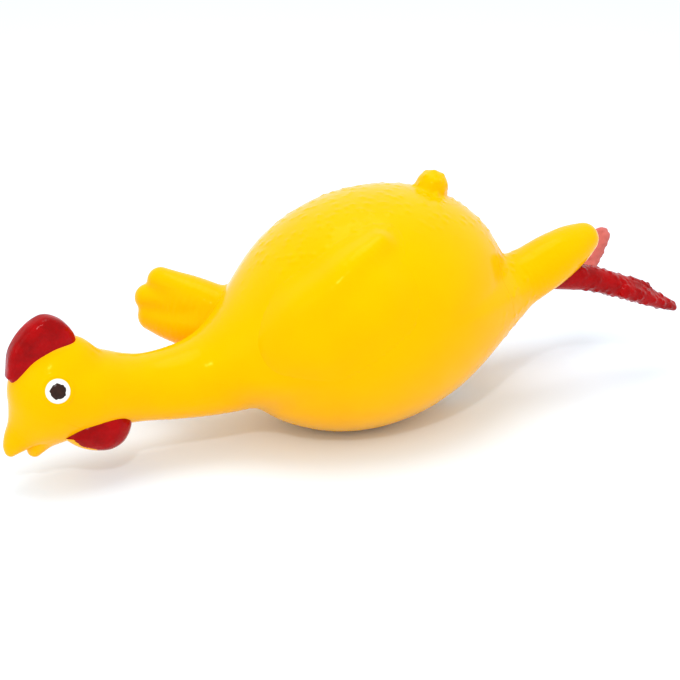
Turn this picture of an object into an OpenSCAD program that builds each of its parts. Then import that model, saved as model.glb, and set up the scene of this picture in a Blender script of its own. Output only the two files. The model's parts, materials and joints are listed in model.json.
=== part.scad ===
// Rubber chicken: a hollow squeezable vinyl toy with a squeaker in its vent.
// It lies on its belly. Head at -X, feet at +X, its left side at -Y, up is +Z.
// The origin is on the flat belly patch that it rests on.

/* [Torso] */
// Half length of the egg-shaped torso
torso_a = 48.5; // [46:0.5:51]
// Radius of the torso's round sections
torso_b = 38.9; // [37:0.1:40]
// Height of the torso's centre above the rest face
torso_z = 37.4; // [36.5:0.1:38]
// How far the tail end is raised, in degrees
torso_tilt = 14; // [10:1:18]
// Thickness of the moulded vinyl wall
wall = 2.4; // [1.8:0.2:3]

/* [Neck] */
// Radius of the ball of skin at the neck root
root_r = 15.2; // [14.6:0.1:15.4]
// Radius of the ball of skin halfway along the neck
mid_r = 12.4; // [12:0.1:12.6]
// Radius of the ball of skin behind the head
nape_r = 12.2; // [11.8:0.1:12.4]
// Radius of the narrowest part of the neck
waist_r = 10.4; // [9.8:0.1:10.8]

/* [Head] */
// Radius that rounds the head all over
head_r = 12; // [11.5:0.1:12.2]
// Radius of the white of the eye
eye_r = 4.1; // [3.6:0.1:4.4]
// Radius of the pupil
pupil_r = 2.4; // [2:0.1:2.8]
// How far each eye is turned up from the side of the head, in degrees
eye_lift = 22; // [16:1:26]
// Thickness of the comb from side to side
comb_t = 8; // [6:0.5:9]
// Thickness of the wattle from side to side
wattle_t = 11; // [9:0.5:12]

/* [Wings and legs] */
// Thickness of a wing
wing_t = 6.4; // [5:0.2:7]
// How far the folded wing stands proud of the flank
fold_t = 3.4; // [2.4:0.2:4]
// Radius of the left thigh's root
left_hip_r = 11.6; // [11:0.1:11.8]
// Radius of the right thigh's root
right_hip_r = 11.4; // [11:0.1:11.6]
// Radius of the shanks at the ankle
shank_r = 4.7; // [4.2:0.1:4.9]

/* [Squeaker] */
// Radius of the bore that holds the squeaker in the vent
vent_r = 7; // [6.6:0.1:7.4]
// Length of the squeaker cup
cup_h = 13; // [11:0.5:14]

/* [Fits] */
// Clearance between skins that flex against each other
gap = 0.4; // [0.3:0.05:0.5]

/* [Hidden] */

$fn = 72;
BALL_FN = 28;         // facets of the spheres inside a hull
JOIN = 0.05;          // gap between pieces of one moulding that only meet
YELLOW = "gold";
RED = "firebrick";
PALE_RED = "lightcoral";
big = 200;

torso_c = [2, 0, torso_z];
neck_root = [-44, 0, 26];
neck_mid = [-63, 0, 25];
nape = [-88, 0, 27.5];
// Places on the head's middle plane, as x and z, that its rounded form is stretched over
head_points = [[-105, 31], [-103, 26.5], [-96, 30], [-95, 27]];
head_back_x = -90.4;  // the head's skin is open behind this plane, where the neck goes in
neck_cut_x = -41;     // the torso's skin is open in front of this plane
root_cone = [14, 12.2];       // outer radii of the neck root's taper
root_bore = [11, 9.6];        // inner radii of the same taper
waist_flare = 1.1;            // how much the neck widens from its waist to each end
eye_t = 0.8;          // height of the white of the eye over the head
pupil_t = 0.5;        // height of the pupil over the white
tail_root = [22, 0, 68];
tail_tip = [26.2, 0, 76.8];
tail_r = 5.4;

// Each leg's centre line: place and radius, from the hip to the rounded heel
left_leg_line = [[45, -13, 40.5, 8.6], [56, -13.5, 45.2, 8.6], [65, -14, 49, 8.4], [72, -14, 51.3, 7.2],
  [76.5, -14, 52.8, 5.3]];
right_leg_line = [[46, 11, 30.5, 8.6], [57, 11.5, 33, 8.6], [66, 12, 35.5, 8.4], [73, 12, 38, 7.2],
  [78, 12, 40, 5.3]];
ankle_r = shank_r + 0.5;

// Each shank runs from inside the thigh's end to the ankle, and the toes go on to their tip
left_shank_line = [[68, -14, 43.5, shank_r + 0.4], [84, -15, 37, shank_r]];
right_shank_line = [[69, 12, 31, shank_r + 0.4], [86, 13.5, 30.5, shank_r]];
left_toe_line = [[84, -15, 37, ankle_r], [93, -15.7, 33.5, 4], [104, -17, 28.6, 3.2], [110, -17.6, 26, 2.2],
  [112.5, -18, 25, 1.5]];
right_toe_line = [[86, 13.5, 30.5, ankle_r], [92.5, 14, 29.8, 4.4], [98, 14, 31.5, 3.6], [101.3, 14, 36, 3.1],
  [104.7, 14, 41, 2.4]];
left_hind_line = [[96, -16, 35.4, 2.4], [103, -16.6, 33.2, 2]];
right_hind_line = [[90.5, 14, 34.6, 2.2], [94.5, 14, 36.4, 1.8]];

// The vent sits on the torso's outline at this angle from its long axis
vent_t = -60;
vent_p = [torso_a * cos(vent_t), torso_b * sin(vent_t)];
vent_n = atan2(torso_a * sin(vent_t), torso_b * cos(vent_t)) + torso_tilt;
vent_c = torso_c + [vent_p[0] * cos(torso_tilt) - vent_p[1] * sin(torso_tilt), 0,
  vent_p[0] * sin(torso_tilt) + vent_p[1] * cos(torso_tilt)];
cup_r = vent_r - 0.02;
cup_wall = 1.2;
grille_r = vent_r + 1.4;
grille_t = 1.2;
reed_depth = 8;       // the reed's depth below the skin
reed_l = 7;
reed_t = 0.4;

// Places its children with their z axis along the torso's long axis
module along_torso() { translate(torso_c) rotate([0, 90 - torso_tilt, 0]) children(); }

// Places its children with their z axis out of the vent
module at_vent() { translate(vent_c) rotate([0, 90 - vent_n, 0]) children(); }

// The egg of the torso, grown by a distance
module torso_egg(grow) {
  steps = 24;
  along_torso()
    rotate_extrude() polygon([for (i = [0:steps]) let(t = -90 + 180 * i / steps)
      [(torso_b + grow) * cos(t), (torso_a + grow) * sin(t)]]);
}

// A ball of one radius at a place
module ball(place, r) { translate(place) sphere(r); }

// A cone from one place to another, both at y = 0
module cone(a, b, ra, rb) {
  d = b - a;
  translate(a) rotate([0, atan2(d[0], d[2]), 0]) cylinder(h = norm(d), r1 = ra, r2 = rb);
}

// A round limb along a line of places and radii
module limb(line, grow = 0) {
  for (i = [0:len(line) - 2])
    hull() for (s = [line[i], line[i + 1]])
      translate([s[0], s[1], s[2]]) sphere(s[3] + grow, $fn = BALL_FN);
}

function place(s) = [s[0], s[1], s[2]];

module above_floor() { translate([-big / 2, -big / 2, 0]) cube(big); }

module torso_skin() color(YELLOW) difference() {
  intersection() { torso_egg(0); above_floor(); }
  intersection() { torso_egg(-wall); translate([0, 0, wall]) above_floor(); }
  // neck opening: a spherical seat, relieved in front for the neck's swing
  ball(neck_root, root_r + gap);
  translate([neck_cut_x - big, -big / 2, -1]) cube(big);
  ball(place(left_leg_line[0]), left_hip_r + gap);
  ball(place(right_leg_line[0]), right_hip_r + gap);
  at_vent() {
    translate([0, 0, -12]) cylinder(h = 20, r = vent_r);
    translate([0, 0, -grille_t]) cylinder(h = 8, r = grille_r + 0.1);
  }
}

// Blunt round-ended tail that stands on the rump
module tail_nub() color(YELLOW) difference() {
  union() {
    cone(tail_root, tail_tip, tail_r, tail_r - 0.8);
    ball(tail_tip, tail_r - 0.4);
  }
  torso_egg(JOIN);
}

// Moulded cup with an air slot in its blind end
module squeaker_cup() color("white") at_vent() difference() {
  translate([0, 0, -grille_t - cup_h]) cylinder(h = cup_h, r = cup_r);
  translate([0, 0, -grille_t - cup_h + cup_wall]) cylinder(h = cup_h, r = cup_r - cup_wall);
  translate([0, 0, -grille_t - cup_h - 1]) cylinder(h = 4, r = 1.6);
}

// Perforated disc that closes the vent
module squeaker_grille() color("white") at_vent() difference() {
  translate([0, 0, -grille_t]) cylinder(h = grille_t, r = grille_r);
  for (k = [0:5]) rotate([0, 0, 60 * k]) translate([vent_r * 0.55, 0, -grille_t - 1])
    cylinder(h = grille_t + 2, r = 1);
  translate([0, 0, -grille_t - 1]) cylinder(h = grille_t + 2, r = 1);
}

// Disc pressed into the cup, with the window that the reed covers and the block that grips it
module reed_holder() color("ivory") at_vent() difference() {
  union() {
    translate([0, 0, -reed_depth - 2.4]) cylinder(h = 1.6, r = cup_r - cup_wall - 0.02);
    translate([-reed_l / 2 - 1.6, -2, -reed_depth - 1]) cube([1.2, 4, 2.4]);
  }
  translate([-reed_l / 2 + 1, -1, -reed_depth - 3]) cube([reed_l - 2, 2, 4]);
}

// Thin blade that the air sets buzzing
module squeaker_reed() color("whitesmoke") at_vent()
  translate([-reed_l / 2, -1.5, -reed_depth - reed_t / 2]) cube([reed_l, 3, reed_t]);

module neck_root_skin() color(YELLOW) difference() {
  union() {
    ball(neck_root, root_r);
    cone(neck_root, neck_mid, root_cone[0], root_cone[1]);
  }
  ball(neck_mid, mid_r + gap);
  cone(neck_root + [20, 0, 0], neck_mid, root_bore[0], root_bore[1]);
}

// Hollow neck with a narrow waist, between the two balls of skin that it flexes on
module neck_skin() {
  steps = 8;
  length = norm(nape - neck_mid);
  color(YELLOW) translate(neck_mid) rotate([0, atan2((nape - neck_mid)[0], (nape - neck_mid)[2]), 0])
    difference() {
      union() {
        sphere(mid_r);
        translate([0, 0, length]) sphere(nape_r);
        rotate_extrude() polygon(concat([[0, 0]], [for (i = [0:steps])
          [waist_r + waist_flare * pow(2 * i / steps - 1, 2), length * i / steps]], [[0, length]]));
      }
      translate([0, 0, -big / 2]) cylinder(h = big, r = waist_r - wall);
    }
}

// The whole head, grown by a distance
module head_form(grow = 0) {
  hull() for (c = head_points)
    translate([c[0], 0, c[1]]) sphere(head_r + grow, $fn = BALL_FN);
}

module head_skin() color(YELLOW) difference() {
  head_form();
  head_form(-wall);
  ball(nape, nape_r + gap);
  translate([head_back_x, -big / 2, 0]) cube(big);
}

// Slab-sided rounded comb that runs over the crown: x, z and radius of the circles it is stretched over
comb_arc = [[-112, 39, 3], [-110.5, 44.5, 3.6], [-105, 49.6, 5], [-98, 46.5, 4.4], [-94.5, 40, 2.4]];
module comb() color(RED) difference() {
  hull() for (c = comb_arc)
    translate([c[0], comb_t / 2, c[1]]) rotate([90, 0, 0]) cylinder(h = comb_t, r = c[2], $fn = BALL_FN);
  head_form(JOIN);
  ball(nape, nape_r + 1);
}

// Rounded flap that hangs under the throat, given in the same way
wattle_arc = [[-98.5, 17.2, 3.2], [-94, 15.6, 3.6], [-88.6, 16, 3.4]];
module wattle() color(RED) difference() {
  hull() for (c = wattle_arc)
    translate([c[0], wattle_t / 2, c[1]]) rotate([90, 0, 0]) cylinder(h = wattle_t, r = c[2], $fn = BALL_FN);
  head_form(JOIN);
  ball(nape, nape_r + 2.5);
}

upper_beak_line = [[-109, 0, 22, 7], [-114, 0, 17, 4.6], [-116, 0, 14, 2.8]];
module upper_beak() color(YELLOW) difference() {
  limb(upper_beak_line);
  head_form(JOIN);
}

lower_beak_line = [[-105, 0, 18, 5.5], [-109.4, 0, 14.8, 4], [-110.6, 0, 13, 2.6]];
module lower_beak() color(YELLOW) difference() {
  limb(lower_beak_line);
  limb(upper_beak_line, JOIN);
  head_form(JOIN);
}

// A painted disc on the side of the head: side is -1 on its left and 1 on its right
module eye_disc(side, r, low, high)
  translate([head_points[0][0], 0, head_points[0][1]]) rotate([side * (eye_lift - 90), 0, 0])
    translate([0, 0, head_r + low]) cylinder(h = high - low, r = r);

module left_eye_white() color("white") eye_disc(-1, eye_r, JOIN, eye_t);
module right_eye_white() color("white") eye_disc(1, eye_r, JOIN, eye_t);
module left_pupil() color("black") eye_disc(-1, pupil_r, eye_t + JOIN, eye_t + pupil_t);
module right_pupil() color("black") eye_disc(1, pupil_r, eye_t + JOIN, eye_t + pupil_t);

// Mitten-shaped wing spread out to the right, stretched over its shoulder and its three feather tips
right_wing_points = [[-43, 19, 46], [-51, 20, 34], [-56, 33, 45], [-61, 34, 39], [-58, 33, 33]];
module right_wing() color(YELLOW)
  hull() for (p = right_wing_points)
    translate(p) sphere(wing_t / 2, $fn = BALL_FN);

// The left wing lies folded back along the flank, a shell that follows the torso: x, z and radius of the
// circles that its outline is stretched over, and how far from the middle plane it starts
left_wing_outline = [[-30, 37, 9], [-14, 54, 8], [-6, 62, 5]];
left_wing_y = -14;
module left_wing() color(YELLOW) difference() {
  intersection() {
    torso_egg(gap + fold_t);
    translate([0, left_wing_y, 0]) rotate([90, 0, 0]) linear_extrude(60)
      hull() for (c = left_wing_outline) translate([c[0], c[1]]) circle(c[2]);
  }
  torso_egg(gap);
}

module thigh(line, hip_r, shank) difference() {
  union() {
    hull() translate(place(line[0])) sphere(hip_r, $fn = BALL_FN);
    limb(line);
  }
  limb(shank, JOIN);
}
module left_thigh() color(YELLOW) thigh(left_leg_line, left_hip_r, left_shank_line);
module right_thigh() color(YELLOW) thigh(right_leg_line, right_hip_r, right_shank_line);

module shank(line) difference() {
  limb(line);
  ball(place(line[1]), ankle_r + gap);
}
module left_shank() color(RED) shank(left_shank_line);
module right_shank() color(PALE_RED) shank(right_shank_line);

module left_toes() color(RED) limb(left_toe_line);
module right_toes() color(PALE_RED) limb(right_toe_line);

module hind_toe(toe_line, line) difference() {
  limb(line);
  limb([toe_line[0], toe_line[1], toe_line[2]], 2 * JOIN);
}
module left_hind_toe() color(RED) hind_toe(left_toe_line, left_hind_line);
module right_hind_toe() color(PALE_RED) hind_toe(right_toe_line, right_hind_line);

torso_skin();
tail_nub();
squeaker_cup();
squeaker_grille();
reed_holder();
squeaker_reed();
neck_root_skin();
neck_skin();
head_skin();
comb();
wattle();
upper_beak();
lower_beak();
left_eye_white();
left_pupil();
right_eye_white();
right_pupil();
left_wing();
right_wing();
left_thigh();
right_thigh();
left_shank();
right_shank();
left_toes();
right_toes();
left_hind_toe();
right_hind_toe();
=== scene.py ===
"""A squeezable rubber chicken lying on its belly, skinned in glossy painted vinyl.

The whole toy is one moulding, so every piece of skin is read off one set of distance fields: an egg for
the torso and round chains for the neck, head, wings and legs, joined by smooth unions. A piece is a grid
of two parameters that is pushed onto that skin, and neighbouring pieces share their rings or their
tangents, so that no seam shows where the toy flexes.
"""

from __future__ import annotations

import json
import logging
import math
from dataclasses import dataclass, field
from enum import Enum
from typing import Callable, Optional, Sequence

import bpy
import numpy as np
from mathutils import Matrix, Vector

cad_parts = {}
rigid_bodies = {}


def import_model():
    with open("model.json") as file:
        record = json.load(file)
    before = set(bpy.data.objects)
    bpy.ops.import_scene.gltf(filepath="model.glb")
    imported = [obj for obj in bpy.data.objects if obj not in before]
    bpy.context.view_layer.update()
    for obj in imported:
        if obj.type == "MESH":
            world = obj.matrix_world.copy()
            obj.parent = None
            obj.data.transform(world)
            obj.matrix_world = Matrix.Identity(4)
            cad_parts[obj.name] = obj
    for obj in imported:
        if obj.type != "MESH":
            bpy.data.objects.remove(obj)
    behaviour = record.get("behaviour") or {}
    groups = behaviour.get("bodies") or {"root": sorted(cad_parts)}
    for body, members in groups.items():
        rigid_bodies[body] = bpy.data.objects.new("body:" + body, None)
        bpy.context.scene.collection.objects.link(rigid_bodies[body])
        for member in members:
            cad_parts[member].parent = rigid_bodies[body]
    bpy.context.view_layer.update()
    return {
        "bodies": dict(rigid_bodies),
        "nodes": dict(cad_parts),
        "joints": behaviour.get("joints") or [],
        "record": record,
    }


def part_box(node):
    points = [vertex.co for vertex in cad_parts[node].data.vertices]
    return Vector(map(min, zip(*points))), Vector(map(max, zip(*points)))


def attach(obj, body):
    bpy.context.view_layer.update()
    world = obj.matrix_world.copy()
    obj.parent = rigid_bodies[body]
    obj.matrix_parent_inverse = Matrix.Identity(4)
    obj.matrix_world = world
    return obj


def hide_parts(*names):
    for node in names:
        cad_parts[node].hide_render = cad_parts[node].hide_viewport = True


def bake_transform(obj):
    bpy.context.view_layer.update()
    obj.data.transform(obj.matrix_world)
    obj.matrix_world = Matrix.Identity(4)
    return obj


LOG = logging.getLogger("rubber_chicken")
Array = np.ndarray
Field = Callable[[Array], Array]
MM = 0.001
UP = np.array([0.0, 0.0, 1.0])
ACROSS = np.array([0.0, 1.0, 0.0])


class Side(Enum):
    """The bird's own left lies at -Y and its right at +Y."""

    LEFT = -1
    RIGHT = 1


def mm(*values: float) -> Array:
    """Returns millimetre values as an array in metres."""
    return np.array(values, float) * MM


def stations(*rows: Sequence[float]) -> Array:
    """Returns rows of millimetre values as an array in metres."""
    return np.array(rows, float) * MM


def unit(v: Array) -> Array:
    """Returns vectors scaled to length one along their last axis."""
    return v / np.maximum(np.linalg.norm(v, axis=-1, keepdims=True), 1e-12)


def ease(x: Array, low: float, high: float) -> Array:
    """Returns 0 below low and 1 above high, with a smooth step between."""
    t = np.clip((x - low) / (high - low), 0.0, 1.0)
    return t * t * (3.0 - 2.0 * t)


def spline(points: Array, per_span: int) -> Array:
    """Carries a smooth curve through points.

    Each span is the cubic whose end slopes are half the chord between the neighbours on either side.

    Args:
        points: (n, d) points to pass through.
        per_span: number of steps between two points.

    Returns:
        ((n - 1) * per_span + 1, d) points along the curve.
    """
    ends = np.vstack([2 * points[0] - points[1], points, 2 * points[-1] - points[-2]])
    steps = np.linspace(0, len(points) - 1, (len(points) - 1) * per_span + 1)
    i = np.minimum(steps.astype(int), len(points) - 2)
    f = (steps - i)[:, None]
    a, b, c, d = ends[i], ends[i + 1], ends[i + 2], ends[i + 3]
    return 0.5 * (2 * b + (c - a) * f + (2 * a - 5 * b + 4 * c - d) * f**2 + (3 * b - a - 3 * c + d) * f**3)


def smooth_union(a: Array, b: Array, reach: float | Array) -> Array:
    """Returns the smaller of two distances, rounded by a parabola where they differ by less than reach."""
    h = np.maximum(reach - np.abs(a - b), 0.0) / reach
    return np.minimum(a, b) - h * h * reach * 0.25


@dataclass(frozen=True)
class Reach:
    """How far a fillet reaches, from one value low down to another higher up."""

    low: float
    high: float
    bottom: float
    top: float

    def __call__(self, p: Array) -> Array:
        """Returns the reach at points, changing smoothly between the two heights."""
        return self.low + (self.high - self.low) * ease(p[..., 2], self.bottom, self.top)


def reach_at(reach: float | Reach, p: Array) -> float | Array:
    """Returns a fillet's reach at points, whether it is graded or the same everywhere."""
    return reach(p) if callable(reach) else reach


@dataclass(frozen=True, eq=False)
class RoundChain:
    """The distance field of a round limb along a smooth line of places and radii."""

    line: Array
    per_span: int = 5
    squash: float = 1.0

    def __call__(self, p: Array) -> Array:
        """Measures points against the limb.

        The distance to the nearest place on the line, taken span by span, less the radius there. A
        squash over 1 shortens the limb across Y by stretching the points first.

        Args:
            p: (..., 3) points.

        Returns:
            Signed distances, negative inside.
        """
        scale = np.array([1.0, self.squash, 1.0])
        curve = spline(self.line, self.per_span)
        centre = curve[:, :3] * scale
        radius = curve[:, 3]
        q = p * scale
        best = np.full(p.shape[:-1], np.inf)
        for a, b, ra, rb in zip(centre[:-1], centre[1:], radius[:-1], radius[1:]):
            d = b - a
            t = np.clip((q - a) @ d / max(d @ d, 1e-12), 0.0, 1.0)
            gap = np.linalg.norm(q - a - t[..., None] * d, axis=-1) - (ra + t * (rb - ra))
            best = np.minimum(best, gap)
        return best


@dataclass(frozen=True)
class Egg:
    """The distance field of an ellipsoid of revolution with its long axis tilted in the XZ plane."""

    centre: tuple[float, float, float]
    half_length: float
    radius: float
    tilt: float

    def __call__(self, p: Array) -> Array:
        """Returns k (k - 1) / g, where k is the scaled radius of a point and g its scaled slope."""
        c, s = math.cos(self.tilt), math.sin(self.tilt)
        q = p - np.array(self.centre)
        local = np.stack([q[..., 0] * c + q[..., 2] * s, q[..., 1], q[..., 2] * c - q[..., 0] * s], -1)
        r = np.array([self.half_length, self.radius, self.radius])
        k = np.linalg.norm(local / r, axis=-1)
        g = np.linalg.norm(local / r**2, axis=-1)
        return k * (k - 1.0) / np.maximum(g, 1e-9)


@dataclass(frozen=True)
class Union:
    """Several fields joined one after another, each with the reach of its own fillet."""

    first: Field
    rest: tuple[tuple[Field, float | Reach], ...]
    floor: Optional[float] = None

    def __call__(self, p: Array) -> Array:
        """Returns the joined distance, cut off by a softened plane at the floor if there is one."""
        d = self.first(p)
        for other, reach in self.rest:
            d = smooth_union(d, other(p), reach_at(reach, p))
        if self.floor is not None:
            d = -smooth_union(-d, p[..., 2] - self.floor, 2.0 * MM)
        return d


def chain(*rows: Sequence[float], squash: float = 1.0) -> RoundChain:
    """Returns the limb through rows of x, y, z and radius in millimetres."""
    return RoundChain(stations(*rows), squash=squash)


def slope(f: Field, p: Array, step: float = 0.05 * MM) -> Array:
    """Returns the unit gradient of a field by central differences."""
    parts = [f(p + step * e) - f(p - step * e) for e in np.eye(3)]
    return unit(np.stack(parts, -1))


def settle(f: Field, p: Array, rounds: int = 8, limit: float = 4.0 * MM) -> Array:
    """Moves points onto the skin where a field is zero.

    Each round steps back along the gradient by the field's value, never more than a limit.

    Args:
        f: the field.
        p: (..., 3) points near the skin.
        rounds: number of steps.
        limit: longest single step.

    Returns:
        The moved points.
    """
    for _ in range(rounds):
        p = p - np.clip(f(p), -limit, limit)[..., None] * slope(f, p)
    return p


def reach_out(f: Field, start: Array, along: Array, cap: float, rounds: int = 26) -> Array:
    """Walks from inside a field along straight lines until each one comes out.

    Every step is as long as the field says is still free, so no line can step over the skin.

    Args:
        f: the field.
        start: (..., 3) points inside.
        along: (..., 3) unit directions.
        cap: longest way a line may go.
        rounds: number of steps.

    Returns:
        The length of each line.
    """
    r = np.zeros(start.shape[:-1])
    for _ in range(rounds):
        r = np.clip(r - f(start + r[..., None] * along), 0.0, cap)
    return r


def grid_normals(grid: Array) -> Array:
    """Returns a grid's unit normals from its own differences, with its columns joined round."""
    rows = np.gradient(grid, axis=0)
    around = np.roll(grid, -1, axis=1) - np.roll(grid, 1, axis=1)
    n = unit(np.cross(around, rows))
    middle = grid.mean(axis=1, keepdims=True)
    inward = np.sum(n * (grid - middle), axis=-1).mean() < 0
    return -n if inward else n


HASH_MIX = np.array([[127.1, 269.5, 113.5], [311.7, 183.3, 271.9], [74.7, 246.1, 124.6]])
HASH_STRETCH = 4375.85


def pimples(p: Array, cell: float, size: float, seed: float) -> Array:
    """Scatters rounded pimples through space.

    Space is split into cubes of one cell, each with one pimple at a place hashed from the cube's
    numbers. The height is (1 - d^2 / size^2)^2 within size of a pimple, and the highest one counts.

    Args:
        p: (..., 3) points.
        cell: edge of a cube.
        size: radius of a pimple.
        seed: picks another scatter.

    Returns:
        Heights from 0 to 1.
    """
    q = p / cell
    base = np.floor(q)
    best = np.zeros(p.shape[:-1])
    for step in np.ndindex(3, 3, 3):
        c = base + np.array(step) - 1.0
        h = np.sin(c @ HASH_MIX + seed)
        spot = c + 0.5 + 0.35 * np.sin(h * HASH_STRETCH)
        d2 = np.sum((q - spot) ** 2, axis=-1) * (cell / size) ** 2
        best = np.maximum(best, np.maximum(1.0 - d2, 0.0) ** 2)
    return best


@dataclass
class Patchwork:
    """Gathers vertices, faces and corner normals into one closed mesh."""

    points: list[Array] = field(default_factory=list)
    normals: list[Array] = field(default_factory=list)
    faces: list[Array] = field(default_factory=list)
    flat: list[bool] = field(default_factory=list)
    count: int = 0

    def add_points(self, p: Array, n: Array) -> Array:
        """Adds points with their normals and returns their numbers, shaped as the points were."""
        shape = p.shape[:-1]
        size = int(np.prod(shape))
        self.points.append(p.reshape(-1, 3))
        self.normals.append(n.reshape(-1, 3))
        numbers = np.arange(self.count, self.count + size).reshape(shape)
        self.count += size
        return numbers

    def add_faces(self, faces: Array, flat: bool = False) -> None:
        """Adds faces of one corner count, shaded flat where they are a cut rim."""
        self.faces.append(faces.reshape(-1, faces.shape[-1]))
        self.flat.append(flat)

    def add_band(self, grid: Array, inside: bool = False, flat: bool = False) -> None:
        """Adds the quads between neighbouring rows of a grid of numbers whose columns join round."""
        right = np.roll(grid, -1, axis=1)
        quads = np.stack([grid[:-1], right[:-1], right[1:], grid[1:]], -1)
        self.add_faces(quads[..., ::-1] if inside else quads, flat)

    def add_fan(self, ring: Array, tip: int, inside: bool = False) -> None:
        """Adds the triangles from a ring of numbers to a tip."""
        fan = np.stack([ring, np.roll(ring, -1), np.full_like(ring, tip)], -1)
        self.add_faces(fan[..., ::-1] if inside else fan)

    def build(self, name: str) -> bpy.types.Object:
        """Makes the object, with its faces turned outward.

        Args:
            name: the piece's name.

        Returns:
            The linked object, standing at the origin.
        """
        points, normals = np.vstack(self.points), np.vstack(self.normals)
        corner = lambda f, i: points[f[:, i]]
        volume = sum(
            np.sum(np.cross(corner(f, 0), corner(f, i)) * corner(f, i + 1))
            for f in self.faces
            for i in range(1, f.shape[1] - 1)
        )
        faces = [f[:, ::-1] if volume < 0 else f for f in self.faces]
        mesh = bpy.data.meshes.new(name)
        mesh.from_pydata(points.tolist(), [], [row for f in faces for row in f.tolist()])
        mesh.shade_smooth()
        corners = []
        for f, flat in zip(faces, self.flat):
            n = normals[f]
            if flat:
                face = unit(np.cross(points[f[:, 1]] - points[f[:, 0]], points[f[:, 2]] - points[f[:, 0]]))
                n = np.repeat(face[:, None], f.shape[1], axis=1)
            corners.append(n.reshape(-1, 3))
        mesh.normals_split_custom_set(unit(np.vstack(corners)).tolist())
        piece = bpy.data.objects.new(name, mesh)
        bpy.context.scene.collection.objects.link(piece)
        LOG.info("%s: %d points, %d faces", name, len(mesh.vertices), len(mesh.polygons))
        return piece


def hollow_tube(
    name: str, grid: Array, normals: Array, wall: float, poles: tuple[Optional[Array], Optional[Array]]
) -> bpy.types.Object:
    """Makes a closed hollow shell from rings of skin.

    The inner wall follows every fourth ring at the wall's depth along the normals. An end without a pole
    is an open mouth, closed by a cut rim between the two walls.

    Args:
        name: the piece's name.
        grid: (rings, columns, 3) points of the skin.
        normals: the skin's outward normals.
        wall: depth of the inner wall.
        poles: the tip beyond the first and the last ring, or None for an open mouth.

    Returns:
        The piece.
    """
    work = Patchwork()
    outer = work.add_points(grid, normals)
    keep = np.unique(np.append(np.arange(0, len(grid), 4), len(grid) - 1))
    inner = work.add_points(grid[keep] - wall * normals[keep], -normals[keep])
    work.add_band(outer)
    work.add_band(inner, inside=True)
    for row, pole in ((0, poles[0]), (-1, poles[1])):
        if pole is None:
            work.add_band(np.stack([outer[row], inner[row]]), inside=row == 0, flat=True)
            continue
        away = unit(normals[row].mean(axis=0))
        tip = work.add_points(pole[None], away[None])[0]
        core = work.add_points((pole - wall * away)[None], -away[None])[0]
        work.add_fan(outer[row], tip, inside=row == 0)
        work.add_fan(inner[row], core, inside=row != 0)
    return work.build(name)


@dataclass
class Sweep:
    """A skin read off a field by rays from an axis, in rings from one rounded end to the other.

    A ray leaves the axis at right angles. At both ends the rays lean over like the ribs of a fan, until
    they run along the axis, so that the ends close in a pole. The rings are then set out evenly by the
    length of the skin between them.
    """

    skin: Field
    axis: Array
    columns: int
    spacing: float
    cap: float = 80 * MM
    reference: Array = field(default_factory=lambda: UP.copy())
    fine_from: Optional[int] = None
    fine: float = 1.0
    lean: float = math.radians(84)
    rounds: int = 26

    def rays(self, u: Array, columns: int) -> tuple[Array, Array, Array]:
        """Works out ray starts and directions.

        Args:
            u: ring parameters, -1 to 0 over the first fan, 0 to 1 along the axis and 1 to 2 over the last.
            columns: number of rays in a ring.

        Returns:
            Starts and unit directions, both (rings, columns, 3), and the axis directions (rings, 3).
        """
        curve = spline(self.axis, 12)
        along = np.linspace(0, 1, len(curve))
        t = np.clip(u, 0, 1)
        centre = np.stack([np.interp(t, along, c) for c in curve.T], -1)
        turn = unit(np.gradient(curve, axis=0))
        forward = unit(np.stack([np.interp(t, along, c) for c in turn.T], -1))
        first = unit(self.reference - (forward @ self.reference)[:, None] * forward)
        second = np.cross(forward, first)
        tilt = (u - t) * self.lean
        angle = np.arange(columns) * (2 * math.pi / columns)
        ring = np.cos(angle)[:, None] * first[:, None] + np.sin(angle)[:, None] * second[:, None]
        aim = np.cos(tilt)[:, None, None] * ring + (np.sin(tilt)[:, None] * forward)[:, None]
        return np.broadcast_to(centre[:, None], ring.shape), unit(aim), forward

    def rows(self) -> Array:
        """Returns ring parameters spaced evenly by the length of skin between the rings."""
        u = np.linspace(-1, 2, 361)
        start, aim, _ = self.rays(u, 12)
        p = start + reach_out(self.skin, start, aim, self.cap)[..., None] * aim
        step = np.linalg.norm(np.diff(p, axis=0), axis=-1).mean(axis=1)
        if self.fine_from is not None:
            step = step * np.where(u[1:] > self.fine_from / (len(self.axis) - 1), self.fine, 1.0)
        length = np.append(0, np.cumsum(step))
        count = max(int(length[-1] / self.spacing), 12)
        return np.interp(np.linspace(0, length[-1], count), length, u)

    def grid(self) -> tuple[Array, Array, Array]:
        """Reads the skin.

        Returns:
            The (rings, columns, 3) grid, and the two poles.
        """
        start, aim, forward = self.rays(self.rows(), self.columns)
        p = start + reach_out(self.skin, start, aim, self.cap, self.rounds)[..., None] * aim
        poles = []
        for row, sign in ((0, -1.0), (-1, 1.0)):
            way = sign * forward[row][None]
            centre = start[row, :1]
            poles.append((centre + reach_out(self.skin, centre, way, self.cap)[..., None] * way)[0])
        return p, poles[0], poles[1]


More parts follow.
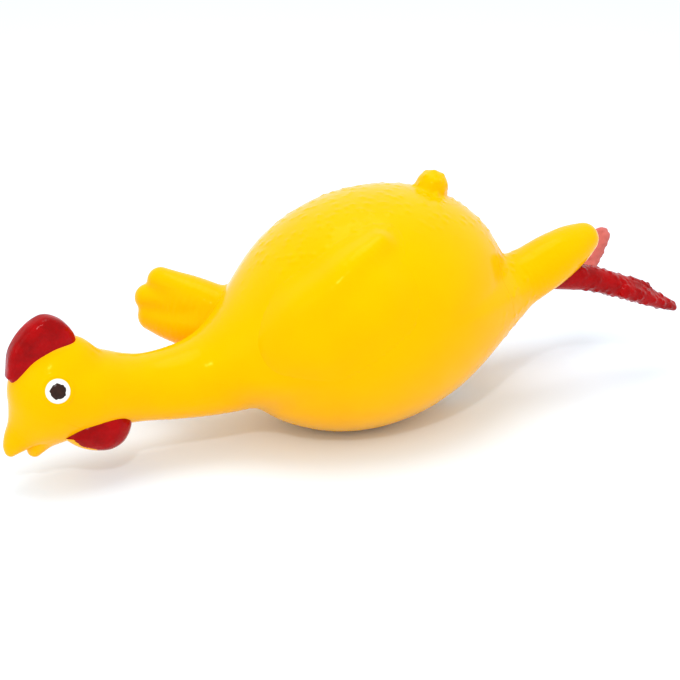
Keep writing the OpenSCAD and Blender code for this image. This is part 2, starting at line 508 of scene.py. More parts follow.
def closed_sweep(name: str, sweep: Sweep, relief: Optional[Field] = None) -> bpy.types.Object:
    """Makes a sweep into one closed solid piece.

    Args:
        name: the piece's name.
        sweep: the sweep to read.
        relief: height to raise each point along its normal, or None.

    Returns:
        The piece.
    """
    grid, first, last = sweep.grid()
    normals = slope(sweep.skin, grid)
    if relief is not None:
        grid = grid + relief(grid)[..., None] * normals
        normals = grid_normals(grid)
    work = Patchwork()
    numbers = work.add_points(grid, normals)
    work.add_band(numbers)
    for row, pole, inside in ((0, first, True), (-1, last, False)):
        away = unit(normals[row].mean(axis=0))
        work.add_fan(numbers[row], work.add_points(pole[None], away[None])[0], inside=inside)
    return work.build(name)


@dataclass
class Limb:
    """A limb that grows out of a parent skin, with a thin skirt that lies on the parent around its root.

    Rings run in from the skirt's edge over the parent, up the fillet, along the limb and over its rounded
    tip. The ones on the skirt and the fillet start as a guess and are settled on the joined field.
    """

    parent: Field
    limb: RoundChain | Mitten
    fillet: float
    columns: int
    root: float = 0.35
    skirt: float = 6 * MM
    back: float = 16 * MM
    spacing: float = 0.8 * MM
    lift: float = 0.03 * MM
    sink: float = 1.2 * MM
    reference: Array = field(default_factory=lambda: UP.copy())

    def whole(self, p: Array) -> Array:
        """Returns the parent and the limb joined by the fillet."""
        return smooth_union(self.parent(p), self.limb(p), self.fillet)

    def build(self, name: str, relief: Field) -> bpy.types.Object:
        """Makes the piece.

        Args:
            name: the piece's name.
            relief: height of the skin's pimples at a point.

        Returns:
            The piece.
        """
        axis = self.limb.line[:, :3]
        sweep = Sweep(self.whole, axis, self.columns, self.spacing, reference=self.reference)
        sweep.cap = float(self.limb.line[:, 3].max()) * 1.8
        u = sweep.rows()
        start, aim, forward = sweep.rays(u[u > self.root], self.columns)
        outer = start + reach_out(self.whole, start, aim, sweep.cap)[..., None] * aim
        edge, way = outer[0], forward[0]
        inward = np.broadcast_to(-way, edge.shape)
        foot = edge + reach_out(lambda p: -self.parent(p), edge, inward, self.back)[..., None] * inward
        n = slope(self.parent, foot)
        spread = aim[0] - 0.6 * way
        spread = unit(spread - np.sum(spread * n, -1, keepdims=True) * n)
        hem = settle(self.parent, foot + self.skirt * spread)
        longest = float(np.linalg.norm(edge - foot, axis=-1).max())
        over = np.linspace(0, 1, max(int(self.skirt / self.spacing), 4))[:, None, None]
        rise = np.linspace(0, 1, max(int(longest / self.spacing), 4) + 1)[1:-1, None, None]
        rows = np.concatenate([hem + over * (foot - hem), foot + rise * (edge - foot)])
        grid = np.concatenate([settle(self.whole, rows), outer])
        normals = slope(self.whole, grid)
        grid = grid + (relief(grid) + self.lift)[..., None] * normals
        normals = slope(lambda p: self.whole(p) - relief(p), grid, 0.2 * MM)
        centre, away = start[-1, :1], forward[-1][None]
        tip = centre + reach_out(self.whole, centre, away, sweep.cap)[..., None] * away
        work = Patchwork()
        numbers = work.add_points(grid, normals)
        sunk = work.add_points(grid[0] - self.sink * normals[0], -normals[0])
        core = work.add_points(grid[0].mean(axis=0)[None] - self.sink * way, -way[None])[0]
        work.add_band(numbers)
        work.add_band(np.stack([sunk, numbers[0]]), flat=True)
        work.add_fan(sunk, core, inside=True)
        work.add_fan(numbers[-1], work.add_points(tip + self.lift * away, away)[0])
        return work.build(name)


# ---------------------------------------------------------------------------------------------- skin


def joint_place(frame: dict, name: str) -> Array:
    """Returns where a joint's axis passes, in metres."""
    return np.array(next(j["pos_m"] for j in frame["joints"] if j["name"] == name), float)


@dataclass
class Anatomy:
    """The fields that every piece of skin is read from, in the bird's own frame."""

    egg: Egg = Egg((2 * MM, 0.0, 37.8 * MM), 48.5 * MM, 38.5 * MM, math.radians(14))
    left_haunch: RoundChain = chain((14, -9, 36, 19), (31, -12, 38.4, 13.4), (45, -13, 40.5, 10))
    right_haunch: RoundChain = chain((14, 9, 33, 19), (31, 10.4, 30.8, 13.2), (46, 11, 30.5, 9.8))
    breast: RoundChain = chain((-22, 0, 25.4, 18.8), (-10, 0, 33.4, 29.6), (0, 0, 36.4, 33.6))
    neck: RoundChain = chain(
        (-20, 0, 27.5, 17),
        (-38, 0, 27, 15),
        (-52, 0, 25.5, 13.2),
        (-65, 0, 25, 11.4),
        (-76, 0, 25.8, 10.5),
        (-86, 0, 27.4, 11.4),
        (-92, 0, 28.2, 12.2),
    )
    skull: RoundChain = chain((-92, 0, 28.3, 12.2), (-97, 0, 28.8, 13.6), (-102.4, 0, 29, 14), squash=1.13)
    face: RoundChain = chain((-103.4, 0, 32, 11.6), (-105.4, 0, 26, 10), squash=1.2)
    crown: RoundChain = chain(
        (-110.6, 0, 34.2, 5),
        (-106, 0, 37.6, 6.8),
        (-101, 0, 39.8, 7.4),
        (-97, 0, 40.4, 6.4),
        (-94.5, 0, 38, 5),
    )
    shoulder: Reach = Reach(3 * MM, 17 * MM, 12 * MM, 30 * MM)
    groin: Reach = Reach(14 * MM, 4 * MM, 42 * MM, 52 * MM)
    floor: float = 0.15 * MM
    eye: Array = field(default_factory=lambda: mm(-105.2, 11, 35.5))
    eye_radius: float = 3.75 * MM
    pimple_height: float = 0.36 * MM
    pimple_cell: float = 3.2 * MM
    pimple_size: float = 1.4 * MM

    def torso_skin(self) -> Union:
        """Returns the torso with its haunches and breast."""
        parts = ((self.breast, 6 * MM), (self.left_haunch, self.groin), (self.right_haunch, self.groin))
        return Union(self.egg, parts)

    def body_skin(self) -> Union:
        """Returns the torso, neck and head in one field."""
        torso = self.torso_skin()
        head = ((self.skull, 3 * MM), (self.face, 5 * MM), (self.crown, 4 * MM))
        return Union(torso.first, torso.rest + ((self.neck, self.shoulder),) + head, floor=self.floor)

    def pimple_relief(self, p: Array) -> Array:
        """Returns the height of the goose pimples, which stand on the back, the rump and the thighs."""
        ridge = p[..., 2] - 1.1 * np.abs(p[..., 1])
        back = ease(ridge, 36 * MM, 54 * MM) * ease(p[..., 0], -46 * MM, -34 * MM)
        rear = ease(p[..., 0], 28 * MM, 44 * MM) * (1 - 0.75 * ease(p[..., 0], 48 * MM, 58 * MM))
        where = np.clip(np.maximum(back, 0.8 * rear), 0, 1) * ease(-p[..., 0], -92 * MM, -80 * MM)
        return self.pimple_height * where * pimples(p, self.pimple_cell, self.pimple_size, 0.7)


@dataclass
class Trunk:
    """The hollow skin from the rump to the face, divided where the neck flexes."""

    anatomy: Anatomy
    columns: int = 288
    spacing: float = 0.72 * MM
    wall: float = 2.0 * MM
    ring_height: float = 0.25 * MM
    ring_width: float = 0.5 * MM
    ring_gap: float = 0.55 * MM
    seat_depth: float = 1.25 * MM
    rump_end: float = 20 * MM
    cuts: tuple[float, ...] = (-45.5 * MM, -57 * MM, -79 * MM)
    line: Array = field(
        default_factory=lambda: stations(
            (24, 0, 43),
            (2, 0, 37.4),
            (-20, 0, 32),
            (-44, 0, 26),
            (-63, 0, 25),
            (-76, 0, 25.8),
            (-88, 0, 27.6),
            (-103.5, 0, 29),
        )
    )

    def relief(self, p: Array) -> Array:
        """Returns pimples, plus the moulded ring that stands round each eye."""
        off = np.linalg.norm((p - self.anatomy.eye)[..., [0, 2]], axis=-1)
        ring = np.exp(-(((off - self.anatomy.eye_radius - self.ring_gap) / self.ring_width) ** 2))
        near = ease(np.abs(p[..., 1]), 5 * MM, 8 * MM) * ease(-p[..., 0], 90 * MM, 94 * MM)
        return self.anatomy.pimple_relief(p) + self.ring_height * ring * near

    def vent(self, p: Array, centre: Array, axis: Array, radius: float) -> Array:
        """Returns how deep the round seat for the squeaker's grille is pressed in at a point."""
        q = p - centre
        off = np.linalg.norm(q - (q @ axis)[..., None] * axis, axis=-1)
        near = np.linalg.norm(q, axis=-1) < 3 * radius
        return near * self.seat_depth * (1 - ease(off, radius, radius + 0.8 * MM))

    def build(self, seat: tuple[Array, Array, float]) -> dict[str, bpy.types.Object]:
        """Makes the four pieces of the trunk.

        Args:
            seat: centre, outward axis and radius of the squeaker's seat.

        Returns:
            The pieces by name.
        """
        sweep = Sweep(self.anatomy.body_skin(), self.line, self.columns, self.spacing)
        sweep.fine_from, sweep.fine = 6, 2.0
        grid, rump, brow = sweep.grid()
        normals = grid_normals(grid)
        rise = self.relief(grid) - self.vent(grid, *seat)
        grid = grid + rise[..., None] * normals
        normals = grid_normals(grid)
        heart = grid[..., 0].mean(axis=1)
        tail_end = int(np.argmax(heart < self.rump_end))
        ends = [tail_end + int(np.argmax(heart[tail_end:] < cut)) for cut in self.cuts]
        spans = zip([0, *ends], [*ends, len(grid) - 1])
        names = ("torso_skin_vinyl", "neck_root_vinyl", "neck_vinyl", "head_vinyl")
        pieces = {}
        for name, (a, b) in zip(names, spans):
            poles = (rump if a == 0 else None, brow if b == len(grid) - 1 else None)
            pieces[name] = hollow_tube(name, grid[a : b + 1], normals[a : b + 1], self.wall, poles)
        return pieces


@dataclass
class Slab:
    """A flat-sided pad with a rounded rim, standing in the XZ plane, such as the comb or the wattle."""

    outline: Array
    thickness: float
    centre: Array
    roundness: float = 3.2
    turns: int = 160
    layers: int = 61

    def build(self, name: str, ripple: float = 0.0) -> bpy.types.Object:
        """Makes the pad.

        The outline runs round the pad, and every layer across is the outline shrunk towards the centre
        by the superellipse (1 - |t|^n)^(1/n), where t runs from one flat side to the other.

        Args:
            name: the piece's name.
            ripple: height of the slow swelling that a hand-cut mould leaves on the sides.

        Returns:
            The piece.
        """
        loop = spline(np.vstack([self.outline, self.outline[:1]]), 24)[:-1]
        step = np.append(0, np.cumsum(np.linalg.norm(np.diff(np.vstack([loop, loop[:1]]), axis=0), axis=1)))
        at = np.linspace(0, step[-1], self.turns, endpoint=False)
        ring = np.stack([np.interp(at, step, np.append(c, c[0])) for c in loop.T], -1)
        angle = np.linspace(-math.pi / 2, math.pi / 2, self.layers + 2)[1:-1]
        reach = np.abs(np.cos(angle)) ** (2 / self.roundness)
        across = np.sign(angle) * np.abs(np.sin(angle)) ** (2 / self.roundness) * self.thickness / 2
        flat = self.centre[[0, 2]] + reach[:, None, None] * (ring - self.centre[[0, 2]])
        grid = np.stack([flat[..., 0], np.broadcast_to(across[:, None], flat.shape[:2]), flat[..., 1]], -1)
        grid[..., 1] += self.centre[1]
        swell = np.sin(grid[..., 0] * 620 + 1.0) * np.sin(grid[..., 2] * 540) * ripple
        grid[..., 1] += swell * np.sign(across)[:, None] * (np.abs(across)[:, None] / self.thickness * 2)
        normals = grid_normals(grid)
        work = Patchwork()
        numbers = work.add_points(grid, normals)
        work.add_band(numbers)
        for row, side in ((0, -1.0), (-1, 1.0)):
            tip = np.array([self.centre[0], self.centre[1] + side * self.thickness / 2, self.centre[2]])
            core = work.add_points(tip[None], side * ACROSS[None])[0]
            work.add_fan(numbers[row], core, inside=row == 0)
        return work.build(name)


@dataclass
class Eye:
    """A painted eye: a low white dome on the side of the head and a hand-dabbed pupil on it."""

    skin: Field
    side: Side
    place: Array
    white: float
    pupil: float = 2.3 * MM
    dome: float = 0.75 * MM

    def disc(self, radius: Array, low: float, rise: Field, name: str) -> bpy.types.Object:
        """Makes a domed disc that follows the head.

        Rings of shrinking radius are settled on the head, then raised along its normal.

        Args:
            radius: the rim's radius at each step round.
            low: how far the rim stands below the head's skin.
            rise: height over the skin against the share of the radius.
            name: the piece's name.

        Returns:
            The piece.
        """
        side = self.side.value
        centre = settle(self.skin, self.place * np.array([1, side, 1])[None])
        out = slope(self.skin, centre)[0]
        first = unit(UP - (UP @ out) * out)
        second = np.cross(out, first)
        angle = np.arange(len(radius)) * (2 * math.pi / len(radius))
        spoke = np.cos(angle)[:, None] * first + np.sin(angle)[:, None] * second
        share = np.sin(np.linspace(math.pi / 2, 0.04, 22))
        flat = centre[0] + share[:, None, None] * radius[:, None] * spoke
        base = settle(self.skin, flat)
        normal = slope(self.skin, base)
        grid = base + rise(share)[:, None, None] * normal
        grid = np.concatenate([base[:1] - low * normal[:1], grid])
        tip = centre[0] + rise(np.zeros(1))[0] * out
        normals = grid_normals(grid)
        work = Patchwork()
        numbers = work.add_points(grid, normals)
        under = work.add_points((centre[0] - low * out)[None], -out[None])[0]
        work.add_band(numbers)
        work.add_fan(numbers[-1], work.add_points(tip[None], out[None])[0])
        work.add_fan(numbers[0], under, inside=True)
        return work.build(name)

    def build(self) -> dict[str, bpy.types.Object]:
        """Returns the white and the pupil by name."""
        word = self.side.name.lower()
        angle = np.arange(72) * (2 * math.pi / 72)
        ragged = 1 + 0.035 * np.sin(5 * angle + 1) + 0.03 * np.sin(9 * angle + 2) + 0.02 * np.sin(14 * angle)
        bulge = lambda s: self.dome * np.sqrt(np.maximum(1 - s**2, 0)) ** 0.9
        stretch = self.pupil / self.white
        over = lambda s: bulge(s * stretch) + 0.12 * MM * np.sqrt(np.maximum(1 - s**6, 0))
        white = self.disc(np.full(72, self.white), 0.5 * MM, bulge, f"{word}_eye_white_paint")
        pupil = self.disc(self.pupil * ragged, -0.3 * MM, over, f"{word}_pupil_paint")
        return {"white": white, "pupil": pupil}


@dataclass
class Head:
    """What stands on the head: the comb, the wattle and the two halves of the beak."""

    anatomy: Anatomy
    comb_thickness: float = 9 * MM
    wattle_thickness: float = 17 * MM
    bare_share: float = 0.74
    bare_back: float = -94 * MM

    def comb(self) -> bpy.types.Object:
        """Returns the comb, a smooth slab that runs over the crown."""
        upper = (-117.4, 38), (-115.8, 46), (-111, 52.2), (-105, 55.2), (-100, 53.4), (-96.6, 49.4)
        lower = (-95.8, 46.4), (-97, 43.6), (-101, 42), (-106, 40), (-111, 37.5), (-115, 35.6)
        pad = Slab(stations(*upper, *lower), self.comb_thickness, mm(-105.5, 0, 46))
        return pad.build("comb_paint", 0.12 * MM)

    def wattle(self) -> bpy.types.Object:
        """Returns the wattle, a rounded flap under the throat."""
        lower = (-104.8, 18.4), (-99, 13.4), (-93, 11), (-88, 10.8), (-83.6, 13.2), (-81.4, 18.6)
        upper = (-84, 23), (-92, 25), (-100, 22.5)
        pad = Slab(stations(*lower, *upper), self.wattle_thickness, mm(-92, -3.6, 18), roundness=2.4)
        return pad.build("wattle_paint", 0.1 * MM)

    def leave_bare(self, wattle: bpy.types.Object, bare: bpy.types.Material) -> None:
        """Gives the wattle's front rim the bare vinyl, where the brush missed it.

        Args:
            wattle: the wattle.
            bare: the unpainted finish.
        """
        count = len(wattle.data.polygons)
        centre, normal = np.empty(count * 3), np.empty(count * 3)
        wattle.data.polygons.foreach_get("center", centre)
        wattle.data.polygons.foreach_get("normal", normal)
        centre, normal = centre.reshape(-1, 3), normal.reshape(-1, 3)
        ragged = 0.05 * np.sin(centre[:, 0] * 1100) + 0.02 * np.sin(centre[:, 1] * 1900)
        facing = normal @ unit(np.array([-0.62, 0.0, -0.78]))
        missed = (facing + ragged > self.bare_share) & (centre[:, 0] < self.bare_back)
        wattle.data.materials.append(bare)
        wattle.data.polygons.foreach_set("material_index", missed.astype(np.int32))

    def beak(self) -> dict[str, bpy.types.Object]:
        """Returns the two halves of the beak, which grow out of the face."""
        skin = self.anatomy.body_skin()
        upper = chain((-109.2, 0, 23, 7), (-114, 0, 18.8, 5), (-116.8, 0, 15.8, 3.2), (-117.8, 0, 14, 2))
        lower = chain((-106, 0, 20, 6), (-109.4, 0, 15.4, 3.9), (-110.6, 0, 12.6, 2.3))
        plain = lambda p: np.zeros(p.shape[:-1])
        fit = dict(columns=72, root=-0.2, skirt=3 * MM, back=8 * MM, spacing=0.4 * MM, reference=ACROSS)
        return {
            "upper_beak": Limb(skin, upper, 3 * MM, **fit).build("upper_beak_vinyl", plain),
            "lower_beak": Limb(skin, lower, 2 * MM, lift=0.05 * MM, **fit).build("lower_beak_vinyl", plain),
        }


@dataclass(frozen=True, eq=False)
class Mitten:
    """A shape of several chains that is swept along the line of its middle one."""

    line: Array
    shape: Field

    def __call__(self, p: Array) -> Array:
        """Returns the shape's own distance."""
        return self.shape(p)


@dataclass
class Wings:
    """The two mitten-shaped wings: the right one spread, the left one folded back on the flank."""

    anatomy: Anatomy
    cleft: float = 1.6 * MM

    def right(self) -> bpy.types.Object:
        """Returns the spread wing, three fat feathers that grow out of the shoulder."""
        skin = self.anatomy.torso_skin()
        top = chain((-40, 18, 37.5, 7.5), (-48, 24, 41.5, 6.8), (-53.5, 29, 44.6, 5.2), (-56, 32, 46, 4.4))
        middle = chain((-40, 18, 36, 8.5), (-49, 24, 38.4, 7.2), (-56, 30, 40, 5.5), (-60, 33.3, 40.4, 4.5))
        low = chain((-40, 17, 33.5, 9), (-48, 20.5, 33, 7.8), (-54.8, 26, 33.6, 6.2), (-59.4, 31.4, 34.6, 5))
        mitten = Mitten(middle.line, Union(top, ((middle, self.cleft), (low, self.cleft))))
        wing = Limb(skin, mitten, 4 * MM, 120, root=0.42, back=12 * MM, spacing=0.55 * MM)
        return wing.build("right_wing_vinyl", self.anatomy.pimple_relief)

    def left(self) -> bpy.types.Object:
        """Returns the folded wing, whose leading feather makes a crest along the flank."""
        skin = self.anatomy.torso_skin()
        crest = stations(
            (-42, -15, 39, 6), (-32, -22, 50, 6), (-23, -24.5, 57, 5.4), (-13, -24, 64, 4), (-5, -22, 68, 1.9)
        )
        middle = stations((-40, -18, 37, 6), (-30, -26, 45, 6.5), (-19, -29, 52.5, 6.5), (-10, -29, 58, 5.5))
        low = stations((-38, -20, 35, 6), (-28, -29, 40, 6.5), (-17, -33, 47, 6.5), (-9, -34, 52, 5.5))
        sunk = lambda c, proud: RoundChain(np.column_stack([self.sink(skin, c, proud), c[:, 3]]))
        rise = mm(0.8, 2.4, 2.9, 2.8, 1.5)[:, None]
        mitten = Union(sunk(crest, rise), ((sunk(middle, 0.9 * MM), 4 * MM), (sunk(low, 0.2 * MM), 5 * MM)))
        axis = settle(skin, middle[:, :3])
        axis = axis - 2.4 * MM * slope(skin, axis)
        return FoldedWing(skin, mitten, axis).build("left_wing_vinyl", self.anatomy.pimple_relief)

    def sink(self, skin: Field, line: Array, proud: float | Array) -> Array:
        """Returns a line's places sunk under the skin until the radius stands proud by a height."""
        place = settle(skin, line[:, :3])
        return place - (line[:, 3:] - proud) * slope(skin, place)


@dataclass
class FoldedWing:
    """A wing that lies on the flank as a low swelling, cut out with a band of the skin round it."""

    parent: Field
    shape: Field
    axis: Array
    fillet: float = 6 * MM
    depth: float = 5 * MM
    lift: float = 0.03 * MM

    def body(self, p: Array) -> Array:
        """Returns the distance to the swelling, kept to its own band and to a depth under the skin."""
        under = self.parent(p)
        whole = smooth_union(under, self.shape(p), self.fillet)
        return np.maximum(np.maximum(whole, self.shape(p) - self.fillet), -under - self.depth) - self.lift

    def build(self, name: str, relief: Field) -> bpy.types.Object:
        """Makes the piece, whose pimples fade out where the wing swells up."""
        sweep = Sweep(self.body, self.axis, 220, 0.5 * MM, cap=32 * MM, rounds=60)
        return closed_sweep(name, sweep, lambda p: relief(p) * ease(self.shape(p), 1 * MM, 5 * MM))


@dataclass
class Leg:
    """A leg: the thigh that grows out of a haunch, and the shank and toes in one sweep cut at the ankle."""

    anatomy: Anatomy
    side: Side
    thigh_line: Array
    foot_line: Array
    hind_line: Array
    wall: float = 1.6 * MM
    scale_height: float = 0.5 * MM
    cut_before: float = 6 * MM

    def thigh(self) -> bpy.types.Object:
        """Returns the yellow thigh with its rounded heel."""
        limb = Limb(self.anatomy.torso_skin(), RoundChain(self.thigh_line), 2 * MM, 150)
        limb.root, limb.skirt, limb.back = 0.02, 5 * MM, 1 * MM
        limb.lift = (0.03 if self.side is Side.LEFT else 0.05) * MM
        return limb.build(f"{self.side.name.lower()}_thigh_vinyl", self.anatomy.pimple_relief)

    def foot(self, ankle: Array) -> dict[str, bpy.types.Object]:
        """Makes the shank and the toes.

        Three toes lie side by side, so that two grooves run to the tip, and scales stand all over them.

        Args:
            ankle: the ankle joint's place.

        Returns:
            The shank and the toes by name.
        """
        word = self.side.name.lower()
        line = self.foot_line
        along = unit(line[2, :3] - line[0, :3])
        beside = unit(np.cross(UP, along))
        centre = RoundChain(line)
        outer = []
        for sign in (-1.0, 1.0):
            toe = line[2:].copy()
            toe[:, :3] += sign * beside * (toe[:, 3:] * 0.75) - UP * toe[:, 3:] * 0.15
            toe[:, 3] *= 0.72
            outer.append((RoundChain(toe), 0.8 * MM))
        skin = Union(centre, tuple(outer))
        sweep = Sweep(skin, line[:, :3], 120, 0.42 * MM, cap=14 * MM)
        grid, root, tip = sweep.grid()
        normals = slope(skin, grid)
        scales = pimples(grid, 2.5 * MM, 1.35 * MM, 2.1) * ease(grid[..., 0], 70 * MM, 78 * MM)
        grid = grid + self.scale_height * scales[..., None] * normals
        normals = grid_normals(grid)
        heart = grid.mean(axis=1)
        cut = int(np.argmax((heart - ankle) @ along > -self.cut_before))
        upto, after, thin = slice(0, cut + 1), slice(cut, None), self.wall * 0.6
        return {
            "shank": hollow_tube(f"{word}_shank_paint", grid[upto], normals[upto], self.wall, (root, None)),
            "toes": hollow_tube(f"{word}_toes_paint", grid[after], normals[after], thin, (None, tip)),
        }

    def hind_toe(self) -> bpy.types.Object:
        """Returns the short hind toe that stands on top of the others."""
        bump = lambda p: 0.3 * MM * pimples(p, 1.8 * MM, 0.9 * MM, 1.3)
        sweep = Sweep(RoundChain(self.hind_line), self.hind_line[:, :3], 48, 0.3 * MM, cap=6 * MM)
        return closed_sweep(f"{self.side.name.lower()}_hind_toe_paint", sweep, bump)


@dataclass
class Tail:
    """The blunt tail that stands on the rump."""

    anatomy: Anatomy

    def build(self) -> bpy.types.Object:
        """Returns the tail, flared where it meets the rump."""
        stub = chain((21, 0, 64, 6), (23.2, 0, 69.5, 5.4), (25, 0, 73.4, 5.4), (25.8, 0, 75.2, 5.2))
        limb = Limb(self.anatomy.torso_skin(), stub, 1.6 * MM, 72, root=0.7, skirt=4 * MM, back=12 * MM)
        limb.spacing, limb.reference = 0.5 * MM, ACROSS
        return limb.build("tail_vinyl", self.anatomy.pimple_relief)


# ------------------------------------------------------------------------------------------ finishes


class Wiring:
    """Puts nodes and links into one node tree."""

    def __init__(self, tree: bpy.types.NodeTree) -> None:
        """Keeps the tree."""
        self.tree = tree

    def node(self, kind: str, **values: object) -> bpy.types.Node:
        """Adds a node.

        Args:
            kind: the node's type name without its ShaderNode prefix, or in full for a group's own ends.
            values: properties to set, and for a name that starts with in_ the input socket's value, with
                underscores for the spaces in the socket's name.

        Returns:
            The node.
        """
        made = self.tree.nodes.new(kind if kind.startswith("Node") else "ShaderNode" + kind)
        for key, value in values.items():
            if key.startswith("in_"):
                made.inputs[key[3:].replace("_", " ")].default_value = value
            else:
                setattr(made, key, value)
        return made

    def link(self, source: bpy.types.NodeSocket, target: bpy.types.NodeSocket) -> None:
        """Links two sockets."""
        self.tree.links.new(source, target)


@dataclass
class Effects:
    """The node groups that the finishes share, each built once."""

    made: dict[str, bpy.types.NodeTree] = field(default_factory=dict)

    def group(
        self, name: str, inputs: dict[str, object], outputs: dict[str, str]
    ) -> tuple[Wiring, Callable, Callable]:
        """Starts a node group.

        Args:
            name: the group's name.
            inputs: input names, with a colour or a number as the usual value.
            outputs: output names with their socket types.

        Returns:
            The wiring, and functions that give an input's and an output's socket inside the group.
        """
        tree = bpy.data.node_groups.new(name, "ShaderNodeTree")
        for key, value in inputs.items():
            kind = "NodeSocketColor" if isinstance(value, tuple) else "NodeSocketFloat"
            tree.interface.new_socket(key, in_out="INPUT", socket_type=kind).default_value = value
        for key, kind in outputs.items():
            tree.interface.new_socket(key, in_out="OUTPUT", socket_type=kind)
        wiring = Wiring(tree)
        start, end = wiring.node("NodeGroupInput"), wiring.node("NodeGroupOutput")
        self.made[name] = tree
        return wiring, lambda key: start.outputs[key], lambda key: end.inputs[key]

    def tone(self) -> bpy.types.NodeTree:
        """Returns the group that shifts a colour in broad soft patches, with fine flecks on top."""
        if "patchy_tone" in self.made:
            return self.made["patchy_tone"]
        usual = {"Color": (1.0, 1.0, 1.0, 1.0), "Deep": (0.5, 0.5, 0.5, 1.0), "Patch": 60.0, "Amount": 0.3}
        out = {"Color": "NodeSocketColor", "Roughness": "NodeSocketFloat"}
        w, given, gives = self.group("patchy_tone", usual | {"Gloss": 0.3, "Haze": 0.12}, out)
        place = w.node("TexCoord")
        patch = w.node("TexNoise", in_Detail=3.0, in_Roughness=0.6)
        fleck = w.node("TexNoise", in_Detail=2.0, in_Scale=900.0)
        w.link(place.outputs["Object"], patch.inputs["Vector"])
        w.link(place.outputs["Object"], fleck.inputs["Vector"])
        w.link(given("Patch"), patch.inputs["Scale"])
        both = w.node("Math", operation="MULTIPLY_ADD")
        both.inputs[1].default_value = 0.22
        w.link(fleck.outputs["Fac"], both.inputs[0])
        w.link(patch.outputs["Fac"], both.inputs[2])
        spread = w.node("MapRange", in_From_Min=0.48, in_From_Max=0.86)
        w.link(both.outputs[0], spread.inputs["Value"])
        share = w.node("Math", operation="MULTIPLY")
        w.link(spread.outputs[0], share.inputs[0])
        w.link(given("Amount"), share.inputs[1])
        mix = w.node("Mix", data_type="RGBA")
        w.link(share.outputs[0], mix.inputs[0])
        w.link(given("Color"), mix.inputs[6])
        w.link(given("Deep"), mix.inputs[7])
        w.link(mix.outputs[2], gives("Color"))
        haze = w.node("Math", operation="MULTIPLY_ADD")
        w.link(spread.outputs[0], haze.inputs[0])
        w.link(given("Haze"), haze.inputs[1])
        w.link(given("Gloss"), haze.inputs[2])
        w.link(haze.outputs[0], gives("Roughness"))
        return w.tree

    def grain(self) -> bpy.types.NodeTree:
        """Returns the group that gives the height of a moulded skin: slow waves, fine pores and specks."""
        if "moulded_grain" in self.made:
            return self.made["moulded_grain"]
        usual = {"Wave": 0.6, "Wave Scale": 110.0, "Pore": 0.3, "Pore Scale": 1400.0}
        w, given, gives = self.group("moulded_grain", usual, {"Height": "NodeSocketFloat"})
        place = w.node("TexCoord")
        wave = w.node("TexNoise", in_Detail=2.0)
        pore = w.node("TexVoronoi", feature="SMOOTH_F1")
        for node, key in ((wave, "Wave Scale"), (pore, "Pore Scale")):
            w.link(place.outputs["Object"], node.inputs["Vector"])
            w.link(given(key), node.inputs["Scale"])
        slow, fine = w.node("Math", operation="MULTIPLY"), w.node("Math", operation="MULTIPLY_ADD")
        w.link(wave.outputs["Fac"], slow.inputs[0])
        w.link(given("Wave"), slow.inputs[1])
        w.link(pore.outputs["Distance"], fine.inputs[0])
        w.link(given("Pore"), fine.inputs[1])
        w.link(slow.outputs[0], fine.inputs[2])
        w.link(fine.outputs[0], gives("Height"))
        return w.tree


@dataclass(frozen=True)
class Finish:
    """One surface finish. Colours are linear, distances in metres."""

    name: str
    slot: str
    colour: tuple[float, float, float]
    deep: tuple[float, float, float]
    amount: float = 0.35
    patch: float = 60.0
    gloss: float = 0.3
    haze: float = 0.1
    wave: float = 0.5
    wave_scale: float = 110.0
    pore: float = 0.2
    pore_scale: float = 1400.0
    depth: float = 0.00012
    specular: float = 0.35
    tint: tuple[float, float, float] = (1.0, 1.0, 1.0)
    coat: float = 0.0
    coat_roughness: float = 0.1

    def material(self, effects: Effects) -> bpy.types.Material:
        """Builds the finish once, and gives the same one after that.

        Args:
            effects: the shared node groups.

        Returns:
            The material.
        """
        known = bpy.data.materials.get(self.name)
        if known is not None:
            return known
        made = bpy.data.materials.new(self.name)
        made.use_nodes = True
        w = Wiring(made.node_tree)
        shader = made.node_tree.nodes["Principled BSDF"]
        fixed = {
            "Specular IOR Level": self.specular,
            "Specular Tint": (*self.tint, 1.0),
            "Coat Weight": self.coat,
            "Coat Roughness": self.coat_roughness,
        }
        for key, value in fixed.items():
            shader.inputs[key].default_value = value
        tone = w.node("Group", node_tree=effects.tone())
        grain = w.node("Group", node_tree=effects.grain())
        given = (
            (tone, "Color", (*self.colour, 1)),
            (tone, "Deep", (*self.deep, 1)),
            (tone, "Patch", self.patch),
            (tone, "Amount", self.amount),
            (tone, "Gloss", self.gloss),
            (tone, "Haze", self.haze),
            (grain, "Wave", self.wave),
            (grain, "Wave Scale", self.wave_scale),
            (grain, "Pore", self.pore),
            (grain, "Pore Scale", self.pore_scale),
        )
        for group, key, value in given:
            group.inputs[key].default_value = value
        bump = w.node("Bump", in_Strength=1.0, in_Distance=self.depth)
        w.link(grain.outputs["Height"], bump.inputs["Height"])
        w.link(tone.outputs["Color"], shader.inputs["Base Color"])
        w.link(tone.outputs["Roughness"], shader.inputs["Roughness"])
        w.link(bump.outputs["Normal"], shader.inputs["Normal"])
        return made


